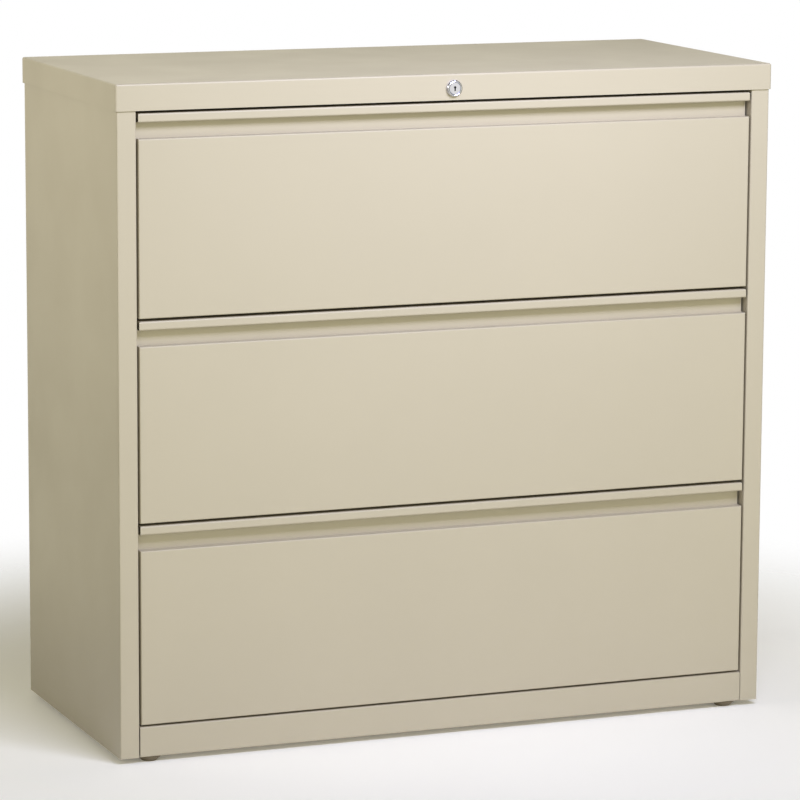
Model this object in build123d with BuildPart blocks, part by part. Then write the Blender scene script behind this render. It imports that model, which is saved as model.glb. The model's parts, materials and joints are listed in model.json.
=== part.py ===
from build123d import *
import os

# A three-drawer lateral filing cabinet in folded sheet steel.
# X runs along the front (right is +X), -Y is the front, Z is up, and the floor is z = 0.
# The origin is the middle of the footprint, lock bezel included.

# ---- driving dimensions, in millimetres ----
cap_width = 1067.0
cap_depth = 473.0
cabinet_height = 1022.0
cap_height = 40.0
cap_overhang = 2.5
foot_height = 9.0
stile_width = 30.0
kick_gap = 3.0
drawer_gap = 4.2
front_height = 303.6
side_gap = 3.2
pull_opening = 24.2
pull_depth = 16.0
lip_height = 13.4
front_thickness = 24.0
sheet = 0.9
heavy_sheet = 1.5
bend = 2.0
lock_proud = 6.0

# ---- planes and faces worked out from them ----
cap_front = -(cap_depth + lock_proud) / 2 + lock_proud
cap_back = cap_front + cap_depth
front_y = cap_front + cap_overhang  # front face of the stiles and the drawers
case_half = cap_width / 2 - cap_overhang
case_back = cap_back - 3.0
case_top = cabinet_height - sheet
cap_bottom = cabinet_height - cap_height
opening_half = case_half - stile_width
front_half = opening_half - side_gap
back_inner = case_back - 2 * sheet  # inner face of the back panel
front_pitch = front_height + drawer_gap
panel_height = front_height - lip_height - pull_opening

# ---- slides: three nested channels, measured from the middle of the slide ----
slide_outer_x = opening_half + 3.0
slide_start = front_y + 28.0
slide_length = 420.0
outer_rise = 26.0
middle_rise = 21.0
inner_rise = 16.0
outer_lip_x = slide_outer_x - 10.0
middle_web_x = slide_outer_x - 5.5
middle_lip_x = slide_outer_x - 13.0
inner_lip_x = slide_outer_x - 10.0
tub_half = slide_outer_x - 17.0
ball_radius = 1.45
cage_length = 196.0
cage_start = slide_start + 104.0
balls_in_row = 5

# ---- drawer tub ----
tub_rise = 13.4  # tub bottom above the bottom edge of the front
tub_height = 235.0
tub_start = front_y + front_thickness
tub_end = front_y + 430.0
slide_rise = 60.0  # slide centre above the tub bottom
catch_rise = 180.0  # lock catch above the tub bottom

# ---- base ----
kick_top = foot_height + 46.6
pan_z = foot_height + sheet
pan_top = pan_z + heavy_sheet
glide_x = 480.0
glide_front_y = front_y + 19.5
glide_back_y = case_back - 24.0
stem_radius = 5.0
thread_clearance = 0.05
hole_clearance = 0.1

# ---- lock ----
lock_z = cabinet_height - 22.0
bezel_radius = 12.5
plug_face_radius = 9.2
plug_radius = 6.4
barrel_radius = 9.5
barrel_end = front_y + 20.0
rod_radius = 4.0
crank_throw = 10.0
crank_pin_radius = 2.5
bar_y = front_y + 450.0
bar_thickness = 3.0
bar_left = -19.0
bar_right = 5.0
bar_middle = (bar_left + bar_right) / 2

drawer_names = ["bottom_drawer", "middle_drawer", "top_drawer"]
front_bottoms = [kick_top + kick_gap + index * front_pitch for index in range(3)]
tub_bottoms = [bottom + tub_rise for bottom in front_bottoms]
slide_heights = [tub + slide_rise for tub in tub_bottoms]
catch_heights = [tub + catch_rise for tub in tub_bottoms]

os.makedirs("parts", exist_ok=True)


def save(piece, name):
    """Label a finished piece and write it as the node of that name."""
    piece.label = name
    export_step(piece, f"parts/{name}.step")


def folded_sheet(plane, points, length, gauge=sheet, radius=bend):
    """A sheet folded along a centre line that lies in the plane, as long as length both ways together."""
    with BuildPart() as piece:
        with BuildSketch(plane):
            with BuildLine():
                FilletPolyline(*points, radius=radius)
            trace(line_width=gauge)
        extrude(amount=length / 2, both=True)
    return piece.part


def upright_sheet(points, low, high, gauge=sheet, radius=bend):
    """A sheet folded along a centre line seen from above, standing from low to high."""
    return folded_sheet(Plane.XY.offset((low + high) / 2), points, high - low, gauge, radius)


def lengthwise_sheet(points, start, end, gauge=sheet, radius=bend):
    """A sheet folded along a centre line seen from the front, running from start to end in Y."""
    return folded_sheet(Plane.XZ.offset(-(start + end) / 2), points, end - start, gauge, radius)


def block(x_range, y_range, z_range):
    """A plain block between the given limits."""
    with BuildPart() as piece:
        with BuildSketch(Plane.XY.offset(z_range[0])):
            with Locations(((x_range[0] + x_range[1]) / 2, (y_range[0] + y_range[1]) / 2)):
                Rectangle(x_range[1] - x_range[0], y_range[1] - y_range[0])
        extrude(amount=z_range[1] - z_range[0])
    return piece.part


def mirrored(piece):
    """The same piece for the other side of the cabinet."""
    with BuildPart() as other:
        mirror(piece, about=Plane.YZ)
    return other.part


def both_sides(piece):
    """A right-hand piece and its left-hand twin, as two solids of one node."""
    with BuildPart() as pair:
        add(piece)
        mirror(piece, about=Plane.YZ)
    return pair.part


# ==== case ====

# Side panel: a skin folded round the front into the stile, with a return behind the stile
# and a flange for the back panel. The left panel mirrors the right one.
stile_return_depth = 25.0
back_flange = 20.0
cap_clearance = 1.0
mid = sheet / 2
right_side = upright_sheet(
    [
        (opening_half + mid, front_y + stile_return_depth),
        (opening_half + mid, front_y + mid),
        (case_half - mid, front_y + mid),
        (case_half - mid, case_back - mid),
        (case_half - back_flange, case_back - mid),
    ],
    foot_height,
    case_top - cap_clearance,
)
save(right_side, "right_side_panel")
save(mirrored(right_side), "left_side_panel")

# Back panel: a flat sheet between the side panels, in front of their flanges and clear of their bends.
inner_half = case_half - sheet
back_half = inner_half - bend
back_sheet = block((-back_half, back_half), (back_inner, back_inner + sheet), (foot_height, case_top))
save(back_sheet, "back_panel")

# Cap: a shallow pan turned over the top of the case, with a hole for the lock in its front edge.
cap_corner = 3.5
cap_edge = 3.0
with BuildPart() as cap:
    with BuildSketch(Plane.XY.offset(cap_bottom)):
        with Locations((0, (cap_front + cap_back) / 2)):
            RectangleRounded(cap_width, cap_depth, cap_corner)
    extrude(amount=cap_height)
    fillet(cap.faces().sort_by(Axis.Z)[-1].edges(), cap_edge)
    offset(amount=-sheet, openings=cap.faces().sort_by(Axis.Z)[0])
    with BuildSketch(Plane.XZ.offset(-cap_front - sheet)):
        with Locations((0, lock_z)):
            Circle(barrel_radius + hole_clearance)
    extrude(amount=2 * sheet, mode=Mode.SUBTRACT)
save(cap.part, "top_cap")

# Top front rail: a channel between the stiles, behind the cap's front edge, that the lock is
# clamped to.
rail_depth = 30.0
with BuildPart() as top_rail:
    add(
        folded_sheet(
            Plane.YZ,
            [
                (front_y + rail_depth, cap_bottom + mid),
                (front_y + mid, cap_bottom + mid),
                (front_y + mid, case_top - mid),
                (front_y + rail_depth, case_top - mid),
            ],
            2 * opening_half,
        )
    )
    with BuildSketch(Plane.XZ.offset(-front_y - sheet)):
        with Locations((0, lock_z)):
            Circle(barrel_radius + hole_clearance)
    extrude(amount=2 * sheet, mode=Mode.SUBTRACT)
save(top_rail.part, "top_front_rail")

# Kick rail: a channel across the bottom of the front, with holes for the front glides' stems.
kick_seam = 1.0
kick_depth = 45.0
with BuildPart() as kick:
    add(
        folded_sheet(
            Plane.YZ,
            [
                (front_y + kick_depth, kick_top - mid),
                (front_y + mid, kick_top - mid),
                (front_y + mid, foot_height + mid),
                (front_y + kick_depth, foot_height + mid),
            ],
            2 * (opening_half - kick_seam),
        )
    )
    with Locations(Plane.XY.offset(foot_height)):
        with Locations((glide_x, glide_front_y), (-glide_x, glide_front_y)):
            Cylinder(stem_radius + 1.0, 4 * sheet, mode=Mode.SUBTRACT)
save(kick.part, "kick_rail")

# Base pan: the floor of the case, with a hole for each glide's stem, notched round the stiles' returns.
pan_setback = 3.0
pan_back = back_inner - 1.0
notch_y = front_y + stile_return_depth / 2
glide_spots = [
    (x, y) for y in (glide_front_y, glide_back_y) for x in (-glide_x, glide_x)
]
with BuildPart() as pan:
    with BuildSketch(Plane.XY.offset(pan_z)):
        with Locations((0, (front_y + pan_setback + pan_back) / 2)):
            Rectangle(2 * inner_half, pan_back - front_y - pan_setback)
        with Locations(*glide_spots):
            Circle(stem_radius + 1.0, mode=Mode.SUBTRACT)
        with Locations((opening_half, notch_y), (-opening_half, notch_y)):
            Rectangle(4.0, stile_return_depth + 2.0, mode=Mode.SUBTRACT)
    extrude(amount=heavy_sheet)
save(pan.part, "base_pan")

# Glide nuts: round weld nuts on the base pan.
nut_height = 12.0
with BuildPart() as nuts:
    with BuildSketch(Plane.XY.offset(pan_top)):
        with Locations(*glide_spots):
            RegularPolygon(9.5, 6)
            Circle(stem_radius + thread_clearance, mode=Mode.SUBTRACT)
    extrude(amount=nut_height)
save(nuts.part, "glide_nuts")

# Counterweight: a steel slab on the base pan, towards the back.
weight_half = 350.0
weight_depth = 80.0
weight_height = 25.0
weight_back = case_back - 60.0
weight_y = (weight_back - weight_depth, weight_back)
save(block((-weight_half, weight_half), weight_y, (pan_top, pan_top + weight_height)), "counterweight")

# Uprights: four channels that carry the slides, each with a row of slots, open towards the side.
upright_width = 40.0
upright_front = front_y + 32.0
upright_back = front_y + 400.0
slot_count = 18
screw_radius = 2.5


def upright(start):
    """One upright on the right-hand side, starting at the given Y."""
    heavy_mid = heavy_sheet / 2
    web_x = slide_outer_x + heavy_mid
    points = [
        (inner_half, start + heavy_mid),
        (web_x, start + heavy_mid),
        (web_x, start + upright_width - heavy_mid),
        (inner_half, start + upright_width - heavy_mid),
    ]
    middle = start + upright_width / 2
    slot_pitch = (case_top - pan_top) / slot_count
    with BuildPart() as piece:
        add(upright_sheet(points, pan_top, case_top, heavy_sheet))
        with BuildSketch(Plane.YZ.offset(slide_outer_x - 1.0)):
            with Locations((middle - 11.0, (pan_top + case_top) / 2)):
                with GridLocations(0, slot_pitch, 1, slot_count):
                    SlotOverall(14.0, 4.0, rotation=90)
            with Locations(*[(middle, height) for height in slide_heights]):
                Circle(screw_radius + hole_clearance)
        extrude(amount=4 * heavy_sheet, mode=Mode.SUBTRACT)
    return piece.part


for place, start in (("front", upright_front), ("rear", upright_back)):
    save(upright(start), f"right_{place}_upright")
    save(mirrored(upright(start)), f"left_{place}_upright")

# Slide screws: pan-head screws from outside the upright into the cabinet slide member.
head_radius = 4.5
head_height = 3.0
screw_spots = [
    (start + upright_width / 2, height) for start in (upright_front, upright_back) for height in slide_heights
]
with BuildPart() as screws:
    with BuildSketch(Plane.YZ.offset(slide_outer_x - heavy_sheet)):
        with Locations(*screw_spots):
            Circle(screw_radius)
    extrude(amount=2 * heavy_sheet)
    with BuildSketch(Plane.YZ.offset(slide_outer_x + heavy_sheet)):
        with Locations(*screw_spots):
            Circle(head_radius)
    extrude(amount=head_height)
save(both_sides(screws.part), "slide_screws")


# ==== slides ====


def channel(web_x, lip_x, rise, start, end):
    """A slide channel whose web outer face is at web_x, with lips reaching lip_x."""
    inward = 1.0 if lip_x > web_x else -1.0
    half = heavy_sheet / 2
    points = [
        (lip_x, rise - half),
        (web_x + inward * half, rise - half),
        (web_x + inward * half, half - rise),
        (lip_x, half - rise),
    ]
    return lengthwise_sheet(points, start, end, heavy_sheet)


def ball_cage(web_x, lip_x, rise, ball_x):
    """A cage that wraps the raceways above and below, with its balls set in it."""
    thin = 0.8
    gap_middle = rise + ball_radius + 0.3
    points = [
        (lip_x, gap_middle),
        (web_x, gap_middle),
        (web_x, -gap_middle),
        (lip_x, -gap_middle),
    ]
    ball_pitch = (cage_length - 16.0) / (balls_in_row - 1)
    with BuildPart() as piece:
        add(lengthwise_sheet(points, cage_start, cage_start + cage_length, thin, 1.0))
        with Locations(*[(ball_x, cage_start + cage_length / 2, side * gap_middle) for side in (1, -1)]):
            with GridLocations(0, ball_pitch, 1, balls_in_row):
                Sphere(ball_radius)
    return piece.part


# Cabinet members: three on each side, screwed to the uprights.
with BuildPart() as cabinet_member:
    with Locations(*[(0, 0, height) for height in slide_heights]):
        add(channel(slide_outer_x, outer_lip_x, outer_rise, slide_start, slide_start + slide_length))
    with BuildSketch(Plane.YZ.offset(slide_outer_x - 2 * heavy_sheet)):
        with Locations(*screw_spots):
            Circle(screw_radius + hole_clearance)
    extrude(amount=3 * heavy_sheet, mode=Mode.SUBTRACT)
save(cabinet_member.part, "right_cabinet_slides")
save(mirrored(cabinet_member.part), "left_cabinet_slides")

middle_member = channel(middle_web_x, middle_lip_x, middle_rise, slide_start + 2.0, slide_start + 418.0)
drawer_member = channel(tub_half, inner_lip_x, inner_rise, slide_start - 2.0, tub_end)
outer_cage = ball_cage(slide_outer_x - 3.5, outer_lip_x, middle_rise, slide_outer_x - 8.0)
inner_cage = ball_cage(middle_web_x - 2.6, middle_lip_x - 0.3, inner_rise, slide_outer_x - 11.5)


# ==== drawers ====

tub_inside = (sheet - tub_half, tub_half - sheet)


def raised(piece, height):
    """The piece lifted by the given height."""
    with BuildPart() as lifted:
        with Locations((0, 0, height)):
            add(piece)
    return lifted.part


def drawer_front(bottom):
    """The outer skin: a pan-shaped panel with the pull's ledge, recess and lip folded on above it."""
    skin_depth = front_thickness - sheet
    panel_top = bottom + panel_height
    top = bottom + front_height
    edge = 1.8
    pull_bend = 2.2
    lip_corner = 2.2
    with BuildPart() as panel:
        with BuildSketch(Plane.XY.offset(bottom)):
            with Locations((0, front_y + skin_depth / 2)):
                Rectangle(2 * front_half, skin_depth)
        extrude(amount=panel_height)
        fillet(panel.faces().sort_by(Axis.Y)[0].edges(), edge)
        offset(amount=-sheet, openings=panel.faces().sort_by(Axis.Y)[-1])
    pull = folded_sheet(
        Plane.YZ,
        [
            (front_y + pull_depth + mid, panel_top - mid),
            (front_y + pull_depth + mid, panel_top + pull_opening + mid),
            (front_y + mid, panel_top + pull_opening + mid),
            (front_y + mid, top - mid),
            (front_y + skin_depth, top - mid),
        ],
        2 * front_half,
        sheet,
        pull_bend,
    )
    with BuildPart() as skin:
        add(panel.part)
        add(pull)
        with BuildSketch(Plane.XZ.offset(-front_y)):
            with Locations((0, bottom + front_height / 2)):
                RectangleRounded(2 * front_half, front_height, lip_corner)
            with Locations((0, bottom + panel_height / 2)):
                Rectangle(2 * front_half, panel_height)
        extrude(amount=-front_thickness, mode=Mode.INTERSECT)
    return skin.part


def drawer_back(tub):
    """The back of the tub, with a hooked catch behind it for the lock bar."""
    catch_z = tub + catch_rise
    catch_gauge = 2.0
    catch_reach = 16.0
    catch_drop = 8.0
    catch_half = 10.0
    catch = (bar_middle - catch_half, bar_middle + catch_half)
    with BuildPart() as piece:
        add(block(tub_inside, (tub_end - sheet, tub_end), (tub + sheet, tub + tub_height)))
        add(block(catch, (tub_end, tub_end + catch_reach), (catch_z, catch_z + catch_gauge)))
        lip = (tub_end + catch_reach - catch_gauge, tub_end + catch_reach)
        add(block(catch, lip, (catch_z - catch_drop, catch_z)))
    return piece.part


def hang_rails(tub):
    """The two rails along the drawer that hanging files hook over, standing out of the top of the tub."""
    rail_gauge = 2.0
    rail_height = 22.0
    low = tub + tub_height - 12.0
    front_rail = tub_start + 14.0
    rear_rail = tub_end - 16.0
    with BuildPart() as pair:
        add(block(tub_inside, (front_rail, front_rail + rail_gauge), (low, low + rail_height)))
        add(block(tub_inside, (rear_rail - rail_gauge, rear_rail), (low, low + rail_height)))
    return pair.part


for name, bottom, tub, slide_z in zip(drawer_names, front_bottoms, tub_bottoms, slide_heights):
    top = bottom + front_height
    save(drawer_front(bottom), f"{name}_front")
    liner_half = front_half - 2.0
    liner_y = (tub_start - sheet, tub_start)
    save(block((-liner_half, liner_half), liner_y, (bottom + 2.0, top - 2.0)), f"{name}_front_liner")
    tub_y = (tub_start, tub_end)
    save(block(tub_inside, tub_y, (tub, tub + sheet)), f"{name}_bottom")
    side = block((tub_half - sheet, tub_half), tub_y, (tub, tub + tub_height))
    save(side, f"{name}_right_side")
    save(mirrored(side), f"{name}_left_side")
    save(drawer_back(tub), f"{name}_back")
    save(hang_rails(tub), f"{name}_hang_rails")
    save(both_sides(raised(drawer_member, slide_z)), f"{name}_slide_members")
    save(both_sides(raised(middle_member, slide_z)), f"{name}_middle_slides")
    save(both_sides(raised(outer_cage, slide_z)), f"{name}_outer_ball_cages")
    save(both_sides(raised(inner_cage, slide_z)), f"{name}_inner_ball_cages")


# ==== levelling glides ====

glide_top_radius = 18.0
glide_bottom_radius = 12.5
glide_body = foot_height - 0.4
stem_top = pan_top + nut_height + 14.0
with BuildPart() as glide:
    with BuildSketch(Plane.XZ):
        with BuildLine():
            Polyline(
                (0, 0),
                (glide_bottom_radius - 1.0, 0),
                (glide_bottom_radius, 1.0),
                (glide_top_radius, glide_body - 2.0),
                (glide_top_radius, glide_body),
                (stem_radius, glide_body),
                (stem_radius, stem_top - 1.0),
                (stem_radius - 1.0, stem_top),
                (0, stem_top),
                close=True,
            )
        make_face()
    revolve(axis=Axis.Z)

glide_names = ["front_left_glide", "front_right_glide", "rear_left_glide", "rear_right_glide"]
for name, spot in zip(glide_names, glide_spots):
    with BuildPart() as placed_glide:
        with Locations((spot[0], spot[1], 0)):
            add(glide.part)
    save(placed_glide.part, name)


# ==== lock ====

lock_axis = Axis((0, 0, lock_z), (0, 1, 0))
lock_plane = Plane((0, 0, lock_z), x_dir=(0, 1, 0), z_dir=(-1, 0, 0))
bezel_front = cap_front - lock_proud
running_gap = 0.05


def turned(points):
    """A solid turned about the lock's axis from an outline of (y, radius) points."""
    with BuildPart() as piece:
        with BuildSketch(lock_plane):
            with BuildLine():
                Polyline(*points, close=True)
            make_face()
        revolve(axis=lock_axis)
    return piece.part


# Barrel: a domed bezel on a threaded body, bored for the plug.
plug_shoulder = bezel_front + 4.0
with BuildPart() as barrel:
    add(
        turned(
            [
                (bezel_front + 0.6, plug_face_radius + running_gap),
                (bezel_front + 0.2, plug_face_radius + 0.6),
                (bezel_front, plug_face_radius + 1.1),
                (bezel_front + 0.5, bezel_radius - 1.2),
                (bezel_front + 1.8, bezel_radius - 0.3),
                (bezel_front + 3.2, bezel_radius),
                (cap_front, bezel_radius),
                (cap_front, barrel_radius),
                (barrel_end, barrel_radius),
                (barrel_end, plug_radius + running_gap),
                (plug_shoulder + 0.2, plug_radius + running_gap),
                (plug_shoulder + 0.2, plug_face_radius + running_gap),
            ]
        )
    )
save(barrel.part, "lock_barrel")

# Lock nut: a hexagon nut that clamps the barrel to the top front rail.
with BuildPart() as lock_nut:
    with BuildSketch(Plane.XZ.offset(-front_y - sheet)):
        with Locations((0, lock_z)):
            RegularPolygon(14.0, 6)
            Circle(barrel_radius + hole_clearance, mode=Mode.SUBTRACT)
    extrude(amount=-4.0)
save(lock_nut.part, "lock_nut")

# Plug: a disc face on a round shank, with a keyhole.
plug_face = bezel_front + 1.0
plug_end = barrel_end + 2.0
key_depth = 14.0
with BuildPart() as plug:
    add(
        turned(
            [
                (plug_face, 0),
                (plug_face, plug_face_radius - 0.5),
                (plug_face + 0.5, plug_face_radius),
                (plug_shoulder, plug_face_radius),
                (plug_shoulder, plug_radius),
                (plug_end, plug_radius),
                (plug_end, 0),
            ]
        )
    )
    with BuildSketch(Plane.XZ.offset(-plug_face)):
        with Locations((0, lock_z + 1.6)):
            Circle(1.9)
        with Locations((0, lock_z - 1.0)):
            Rectangle(2.0, 6.0)
    extrude(amount=-key_depth, mode=Mode.SUBTRACT)
save(plug.part, "lock_plug")

# Lock rod: runs back from the plug under the cap, and ends in a crank with a pin.
crank_gauge = 4.0
crank_y = bar_y - 3.0
pin_offset = crank_throw * 0.70711
pin_spot = (-pin_offset, lock_z - pin_offset)
with BuildPart() as rod:
    with BuildSketch(Plane.XZ.offset(-plug_end)):
        with Locations((0, lock_z)):
            Circle(rod_radius)
    extrude(amount=-(crank_y - plug_end))
    with BuildSketch(Plane.XZ.offset(-crank_y + crank_gauge)):
        with BuildLine():
            Line((0, lock_z), pin_spot)
        trace(line_width=9.0)
        with Locations((0, lock_z)):
            Circle(6.5)
        with Locations(pin_spot):
            Circle(4.5)
    extrude(amount=-crank_gauge)
    with BuildSketch(Plane.XZ.offset(-crank_y)):
        with Locations(pin_spot):
            Circle(crank_pin_radius)
    extrude(amount=-(bar_thickness + 7.0))
save(rod.part, "lock_rod")

# Lock bar: a flat bar down the middle of the back with a slot for the crank pin and three hooks.
# The crank lifts it, and each hook's tooth rises in front of the lip on a drawer's catch.
bar_bottom = tub_bottoms[0] + 40.0
bar_top = lock_z + 2.0
hook_gauge = 3.0
hook_half = 8.0
tooth_drop = 15.5
tooth_y = bar_y - 11.0
slot_height = 2 * crank_pin_radius + 1.4
with BuildPart() as lock_bar:
    add(block((bar_left, bar_right), (bar_y, bar_y + bar_thickness), (bar_bottom, bar_top)))
    with BuildSketch(Plane.XZ.offset(-bar_y + 1.0)):
        with Locations((-(pin_offset + crank_throw) / 2, pin_spot[1])):
            SlotOverall(crank_throw - pin_offset + slot_height + 1.0, slot_height)
    extrude(amount=-(bar_thickness + 2.0), mode=Mode.SUBTRACT)
    for catch_z in catch_heights:
        hook_x = (bar_middle - hook_half, bar_middle + hook_half)
        tooth_top = catch_z - tooth_drop
        arm_bottom = tooth_top - 14.0
        add(block(hook_x, (tooth_y, bar_y), (arm_bottom, arm_bottom + hook_gauge)))
        add(block(hook_x, (tooth_y, tooth_y + hook_gauge), (arm_bottom, tooth_top)))
save(lock_bar.part, "lock_bar")

# Guide blocks: moulded blocks on the back panel that the lock bar slides through.
guide_heights = [tub_bottoms[0] + 70.0, tub_bottoms[1] + 90.0, tub_bottoms[2] + 90.0]
guide_wall = 3.5
guide_gap = 0.5
guide_height = 16.0
bar_width = bar_right - bar_left
with BuildPart() as guides:
    for height in guide_heights:
        with BuildSketch(Plane.XY.offset(height)):
            with Locations((bar_middle, (bar_y - guide_wall + back_inner) / 2)):
                Rectangle(bar_width + 2 * guide_wall, back_inner - bar_y + guide_wall)
            with Locations((bar_middle, bar_y + bar_thickness / 2)):
                Rectangle(bar_width + 2 * guide_gap, bar_thickness + 2 * guide_gap, mode=Mode.SUBTRACT)
        extrude(amount=guide_height)
save(guides.part, "lock_bar_guides")
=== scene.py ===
import json
import math

import bpy
from mathutils import Matrix, Vector

# The looks of a three-drawer lateral filing cabinet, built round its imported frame.
# Lengths are in metres, and -Y is the front.

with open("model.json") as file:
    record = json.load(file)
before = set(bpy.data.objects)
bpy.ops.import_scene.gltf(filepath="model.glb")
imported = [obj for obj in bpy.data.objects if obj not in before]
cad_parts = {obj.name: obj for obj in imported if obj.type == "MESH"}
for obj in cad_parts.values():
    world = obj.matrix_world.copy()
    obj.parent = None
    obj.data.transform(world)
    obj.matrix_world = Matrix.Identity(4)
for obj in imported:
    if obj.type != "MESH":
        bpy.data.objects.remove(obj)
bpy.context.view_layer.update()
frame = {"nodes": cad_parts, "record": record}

nodes = frame["nodes"]
slot_of_node = {part["node"]: part["material_slot"] for part in frame["record"]["subparts"]}

# The lock plug, for the painted shade in its keyhole: its axis height, its face, and a radius that
# holds the keyhole.
lock_height = 1.0
plug_face = -0.2385
keyhole_reach = 0.0044
skin = 0.0002  # how far behind the plug's face the painted shade on the keyhole's walls begins


# ---- node helpers for the materials ----


class Recipe:
    """A material under construction: its nodes, and short calls that add and join them."""

    def __init__(self, name):
        self.material = bpy.data.materials.new(name)
        self.material.use_nodes = True
        self.tree = self.material.node_tree
        self.shader = self.tree.nodes["Principled BSDF"]

    def node(self, kind, **settings):
        made = self.tree.nodes.new(kind)
        for key, value in settings.items():
            setattr(made, key, value)
        return made

    def link(self, output, socket):
        self.tree.links.new(output, socket)

    def place(self):
        """Where a point is in the row frame, in metres, so that texture sizes are real sizes."""
        return self.node("ShaderNodeTexCoord").outputs["Object"]

    def noise(self, scale, detail=2.0, roughness=0.5, stretch=None):
        """Noise whose features are about 1 / scale metres across, stretched along the axes if asked."""
        texture = self.node("ShaderNodeTexNoise")
        texture.inputs["Scale"].default_value = scale
        texture.inputs["Detail"].default_value = detail
        texture.inputs["Roughness"].default_value = roughness
        where = self.place()
        if stretch:
            mapping = self.node("ShaderNodeMapping")
            mapping.inputs["Scale"].default_value = stretch
            self.link(where, mapping.inputs["Vector"])
            where = mapping.outputs["Vector"]
        self.link(where, texture.inputs["Vector"])
        return texture.outputs["Fac"]

    def ramp(self, value, stops):
        """A colour or grey ramp through (position, colour) stops."""
        ramp = self.node("ShaderNodeValToRGB")
        elements = ramp.color_ramp.elements
        while len(elements) < len(stops):
            elements.new(0.5)
        for element, (position, colour) in zip(elements, stops):
            element.position = position
            channels = colour if isinstance(colour, tuple) else (colour, colour, colour)
            element.color = (*channels, 1.0)
        self.link(value, ramp.inputs["Fac"])
        return ramp.outputs["Color"]

    def mix(self, factor, first, second):
        """A blend of two colours, where the factor and each colour is a link or a constant."""
        mixer = self.node("ShaderNodeMix", data_type="RGBA")
        for index, value in ((0, factor), (6, first), (7, second)):
            socket = mixer.inputs[index]
            if isinstance(value, bpy.types.NodeSocket):
                self.link(value, socket)
            elif isinstance(value, tuple):
                socket.default_value = (*value, 1.0)
            else:
                socket.default_value = value
        return mixer.outputs[2]

    def bump(self, height, distance, strength=1.0, under=None):
        """A bump of the given height range in metres, over another bump if one is given."""
        bump = self.node("ShaderNodeBump")
        bump.inputs["Distance"].default_value = distance
        bump.inputs["Strength"].default_value = strength
        self.link(height, bump.inputs["Height"])
        if under:
            self.link(under, bump.inputs["Normal"])
        return bump.outputs["Normal"]

    def finish(self, colour=None, roughness=None, normal=None, **constants):
        """Joins the colour, roughness and normal to the shader, and sets its constants."""
        names = {"Base Color": colour, "Roughness": roughness, "Normal": normal}
        for name, value in names.items():
            if isinstance(value, bpy.types.NodeSocket):
                self.link(value, self.shader.inputs[name])
            elif isinstance(value, tuple):
                self.shader.inputs[name].default_value = (*value, 1.0)
            elif value is not None:
                self.shader.inputs[name].default_value = value
        for name, value in constants.items():
            self.shader.inputs[name.replace("_", " ")].default_value = value
        return self.material


def shade(colour, amount):
    """The colour made lighter or darker by a factor."""
    return tuple(min(1.0, channel * amount) for channel in colour)


def powder_coat(name, colour, roughness=0.4):
    """Satin powder coat: fine orange peel, a faint cloudiness in colour and gloss, and a few specks."""
    cloud_scale, speck_scale, gloss_scale = 3.5, 900.0, 9.0
    peel_scale, peel_height, grain_scale, grain_height = 420.0, 0.00005, 1700.0, 0.00002
    paint = Recipe(name)
    cloud = paint.noise(cloud_scale, 3.0, 0.55)
    tint = paint.ramp(cloud, [(0.3, shade(colour, 0.985)), (0.7, shade(colour, 1.012))])
    speck = paint.ramp(paint.noise(speck_scale, 2.0, 0.6), [(0.74, 0.0), (0.8, 1.0)])
    tint = paint.mix(speck, tint, shade(colour, 0.93))
    gloss = paint.noise(gloss_scale, 4.0, 0.6)
    gloss = paint.ramp(gloss, [(0.3, roughness - 0.03), (0.7, roughness + 0.05)])
    peel = paint.noise(peel_scale, 2.0, 0.5)
    grain = paint.noise(grain_scale, 1.0, 0.5)
    normal = paint.bump(peel, peel_height, 0.55)
    normal = paint.bump(grain, grain_height, 0.35, normal)
    return paint.finish(tint, gloss, normal, IOR=1.5)


putty = (0.457, 0.408, 0.320)
looks = {
    "case_paint": powder_coat("case_paint_look", putty),
    "front_paint": powder_coat("front_paint_look", putty),
    "inner_paint": powder_coat("inner_paint_look", shade(putty, 0.9), 0.5),
    "drawer_paint": powder_coat("drawer_paint_look", shade(putty, 0.95), 0.46),
}


def plated_steel(name, colour, roughness, grain_axis):
    """Zinc-plated or bright steel with a fine rolled grain along one axis."""
    across, along, grain_scale, grain_height, spangle_scale = 90.0, 2.0, 8.0, 0.00002, 60.0
    steel = Recipe(name)
    stretch = [across, across, across]
    stretch[grain_axis] = along
    grain = steel.noise(grain_scale, 3.0, 0.6, stretch)
    spangle = steel.noise(spangle_scale, 2.0, 0.5)
    tint = steel.ramp(spangle, [(0.3, shade(colour, 0.9)), (0.7, shade(colour, 1.06))])
    gloss = steel.ramp(grain, [(0.25, roughness - 0.07), (0.75, roughness + 0.1)])
    normal = steel.bump(grain, grain_height, 0.4)
    return steel.finish(tint, gloss, normal, Metallic=1.0)


def moulded(name, colour, roughness):
    """Moulded nylon with a fine spark-eroded texture."""
    cloud_scale, texture_scale, texture_height = 45.0, 1400.0, 0.00005
    plastic = Recipe(name)
    cloud = plastic.noise(cloud_scale, 3.0, 0.6)
    tint = plastic.ramp(cloud, [(0.3, shade(colour, 0.93)), (0.7, shade(colour, 1.05))])
    normal = plastic.bump(plastic.noise(texture_scale, 2.0, 0.6), texture_height, 0.5)
    return plastic.finish(tint, roughness, normal, IOR=1.53)


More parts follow.
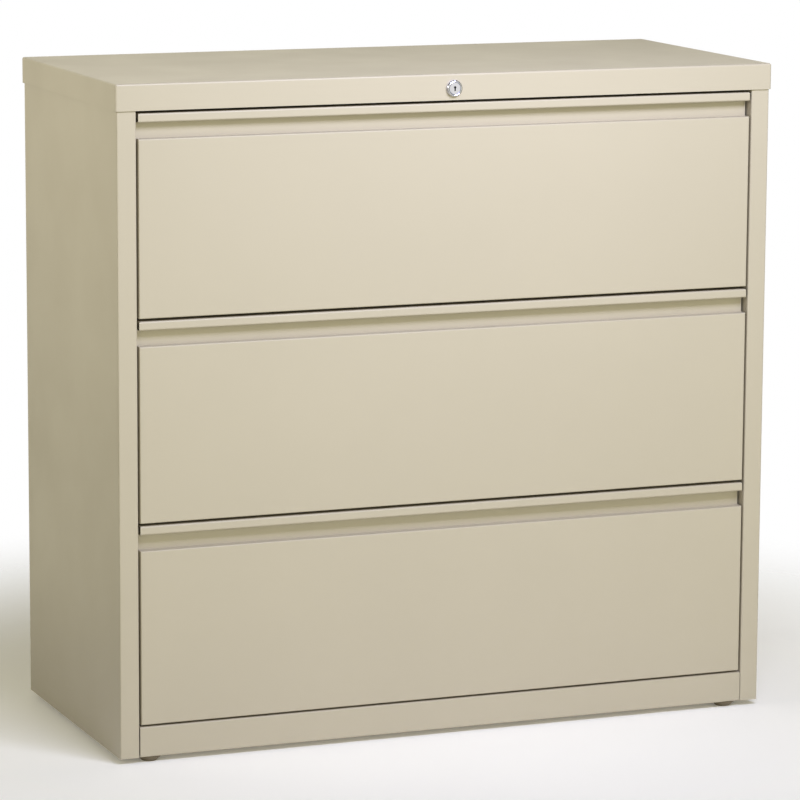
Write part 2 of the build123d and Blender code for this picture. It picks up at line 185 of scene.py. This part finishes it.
def plug_chrome(name, colour, roughness):
    """The lock plug's satin chrome, with painted shade (near-black) on the walls inside the keyhole."""
    # Painted shade: a near-black colour put on the keyhole's walls, where only shade falls.
    keyhole_painted_shade = (0.012, 0.012, 0.014)
    chrome = Recipe(name)
    brushed = chrome.noise(8.0, 3.0, 0.6, [90.0, 90.0, 6.0])
    spot = chrome.node("ShaderNodeSeparateXYZ")
    chrome.link(chrome.place(), spot.inputs[0])
    from_axis = chrome.node("ShaderNodeVectorMath", operation="DISTANCE")
    flat = chrome.node("ShaderNodeCombineXYZ")
    chrome.link(spot.outputs["X"], flat.inputs["X"])
    chrome.link(spot.outputs["Z"], flat.inputs["Z"])
    chrome.link(flat.outputs[0], from_axis.inputs[0])
    from_axis.inputs[1].default_value = (0.0, 0.0, lock_height)
    near = chrome.node("ShaderNodeMath", operation="LESS_THAN")
    near.inputs[1].default_value = keyhole_reach
    chrome.link(from_axis.outputs["Value"], near.inputs[0])
    behind = chrome.node("ShaderNodeMath", operation="GREATER_THAN")
    behind.inputs[1].default_value = plug_face + skin
    chrome.link(spot.outputs["Y"], behind.inputs[0])
    # Mask of the painted keyhole shade: plug surfaces within the keyhole's radius and behind the face.
    keyhole_shade_mask = chrome.node("ShaderNodeMath", operation="MULTIPLY")
    chrome.link(near.outputs[0], keyhole_shade_mask.inputs[0])
    chrome.link(behind.outputs[0], keyhole_shade_mask.inputs[1])
    tint = chrome.ramp(brushed, [(0.3, shade(colour, 0.96)), (0.7, shade(colour, 1.03))])
    # Paints the keyhole's walls near-black as shade.
    tint = chrome.mix(keyhole_shade_mask.outputs[0], tint, keyhole_painted_shade)
    gloss = chrome.ramp(brushed, [(0.25, roughness - 0.04), (0.75, roughness + 0.06)])
    normal = chrome.bump(brushed, 0.00001, 0.3)
    return chrome.finish(tint, gloss, normal, Metallic=1.0)


zinc = (0.62, 0.63, 0.65)
looks["slide_zinc"] = plated_steel("slide_zinc_look", zinc, 0.3, 1)
looks["rail_zinc"] = plated_steel("rail_zinc_look", zinc, 0.32, 0)
looks["lock_zinc"] = plated_steel("lock_zinc_look", shade(zinc, 0.95), 0.34, 2)
looks["fastener_zinc"] = plated_steel("fastener_zinc_look", shade(zinc, 1.05), 0.28, 0)
looks["cage_steel"] = plated_steel("cage_steel_look", (0.55, 0.54, 0.52), 0.25, 1)
looks["lock_chrome"] = plated_steel("lock_chrome_look", (0.66, 0.67, 0.78), 0.19, 2)
looks["guide_nylon"] = moulded("guide_nylon_look", (0.72, 0.70, 0.63), 0.45)
looks["glide_nylon"] = moulded("glide_nylon_look", (0.13, 0.10, 0.055), 0.5)
looks["weight_steel"] = powder_coat("weight_steel_look", (0.045, 0.045, 0.048), 0.55)
plug_look = plug_chrome("plug_chrome_look", (0.55, 0.55, 0.70), 0.3)

for name, node in nodes.items():
    node.data.materials.clear()
    node.data.materials.append(plug_look if name == "lock_plug" else looks[slot_of_node[name]])


# ---- floor, light and camera ----


def add_floor():
    """A pale round floor with a faint glow, which fades out into the white surroundings."""
    full_radius, clear_radius, rings = 0.62, 1.5, 96
    mesh = bpy.data.meshes.new("floor")
    turns = [2 * math.pi * step / rings for step in range(rings)]
    rim = [(clear_radius * math.cos(turn), clear_radius * math.sin(turn), 0.0) for turn in turns]
    mesh.from_pydata(rim, [], [tuple(range(rings))])
    floor = bpy.data.objects.new("floor", mesh)
    bpy.context.scene.collection.objects.link(floor)
    darker, lighter = (0.925, 0.915, 0.89), (0.955, 0.945, 0.92)
    glow, glow_strength = (1.0, 0.97, 0.88, 1.0), 0.12
    pale = Recipe("floor_look")
    tint = pale.ramp(pale.noise(1.5, 2.0), [(0.3, darker), (0.7, lighter)])
    reach = pale.node("ShaderNodeVectorMath", operation="LENGTH")
    pale.link(pale.place(), reach.inputs[0])
    fade = pale.node("ShaderNodeMapRange", interpolation_type="SMOOTHSTEP")
    fade.inputs["From Min"].default_value = full_radius
    fade.inputs["From Max"].default_value = clear_radius
    fade.inputs["To Min"].default_value = 1.0
    fade.inputs["To Max"].default_value = 0.0
    pale.link(reach.outputs["Value"], fade.inputs["Value"])
    pale.link(fade.outputs["Result"], pale.shader.inputs["Alpha"])
    look = pale.finish(tint, 0.9, Emission_Color=glow, Emission_Strength=glow_strength)
    floor.data.materials.append(look)


def add_light(kind, name, place, aim, energy, colour, **settings):
    """A soft studio light at a place, aimed at a point."""
    data = bpy.data.lights.new(name, kind)
    data.energy = energy
    data.color = colour
    for key, value in settings.items():
        setattr(data, key, value)
    light = bpy.data.objects.new(name, data)
    light.location = place
    light.rotation_mode = "QUATERNION"
    light.rotation_quaternion = (Vector(aim) - Vector(place)).to_track_quat("-Z", "Y")
    bpy.context.scene.collection.objects.link(light)


def add_world(seen, fill):
    """A backdrop of the seen colour, which casts light of its own strength and colour per direction.

    Each entry of the fill is an axis, the side of it that light comes from, a strength and a colour.
    """
    world = bpy.data.worlds.new("studio")
    world.use_nodes = True
    tree = world.node_tree
    backdrop = tree.nodes["Background"]
    backdrop.inputs["Color"].default_value = (*seen, 1.0)
    direction = tree.nodes.new("ShaderNodeSeparateXYZ")
    tree.links.new(tree.nodes.new("ShaderNodeTexCoord").outputs["Generated"], direction.inputs[0])

    def maths(operation, first, second, clamp=False):
        """A maths node on a link and a number."""
        made = tree.nodes.new("ShaderNodeMath")
        made.operation = operation
        made.use_clamp = clamp
        tree.links.new(first, made.inputs[0])
        made.inputs[1].default_value = second
        return made.outputs[0]

    cast = None
    for axis, sign, strength, colour in fill:
        facing = maths("MULTIPLY", direction.outputs[axis], sign, clamp=True)
        part = tree.nodes.new("ShaderNodeBackground")
        part.inputs["Color"].default_value = (*colour, 1.0)
        level = maths("MULTIPLY", maths("POWER", facing, 2.0), strength)
        tree.links.new(level, part.inputs["Strength"])
        if cast:
            both = tree.nodes.new("ShaderNodeAddShader")
            tree.links.new(cast, both.inputs[0])
            tree.links.new(part.outputs[0], both.inputs[1])
            cast = both.outputs[0]
        else:
            cast = part.outputs[0]
    ray = tree.nodes.new("ShaderNodeLightPath")
    mixer = tree.nodes.new("ShaderNodeMixShader")
    tree.links.new(ray.outputs["Is Camera Ray"], mixer.inputs[0])
    tree.links.new(cast, mixer.inputs[1])
    tree.links.new(backdrop.outputs[0], mixer.inputs[2])
    tree.links.new(mixer.outputs[0], tree.nodes["World Output"].inputs["Surface"])
    bpy.context.scene.world = world


def add_camera(place, yaw, pitch, roll, lens):
    """A camera at a place. It looks along +Y, turned right by yaw and down by pitch, in degrees."""
    data = bpy.data.cameras.new("camera")
    data.lens = lens
    data.sensor_width = 36.0
    data.clip_end = 200.0
    camera = bpy.data.objects.new("camera", data)
    camera.location = place
    turn = Matrix.Rotation(math.radians(-yaw), 4, "Z")
    tilt = Matrix.Rotation(math.radians(90.0 - pitch), 4, "X")
    lean = Matrix.Rotation(math.radians(roll), 4, "Z")
    camera.rotation_mode = "QUATERNION"
    camera.rotation_quaternion = (turn @ tilt @ lean).to_quaternion()
    bpy.context.scene.collection.objects.link(camera)
    bpy.context.scene.camera = camera


add_floor()
add_world(
    seen=(1.0, 1.0, 1.0),
    fill=[
        ("Y", 1.0, 1.338, (1.0, 0.94, 0.70)),
        ("Y", -1.0, 1.554, (1.0, 0.985, 0.734)),
    ],
)
cool = (0.741, 0.770, 1.0)
box = {"shape": "RECTANGLE", "size": 0.6, "size_y": 0.6, "spread": math.radians(100.0)}
add_light("AREA", "key_left", (-0.2, -1.7, 2.1), (-0.3, -0.24, 0.95), 6.7, cool, **box)
add_light("AREA", "key_right", (0.45, -1.7, 2.1), (0.3, -0.24, 0.95), 10.3, cool, **box)
strip = {"shape": "RECTANGLE", "size": 1.0, "size_y": 0.5, "spread": math.radians(60.0)}
add_light("AREA", "side", (-2.0, 0.0, 1.5), (-0.53, 0.0, 0.95), 1.8, (1.0, 0.97, 0.9), **strip)
add_camera((-2.3634, -5.9129, 1.5955), yaw=21.863, pitch=9.883, roll=0.306, lens=184.5)
bpy.context.scene.view_settings.view_transform = "Standard"
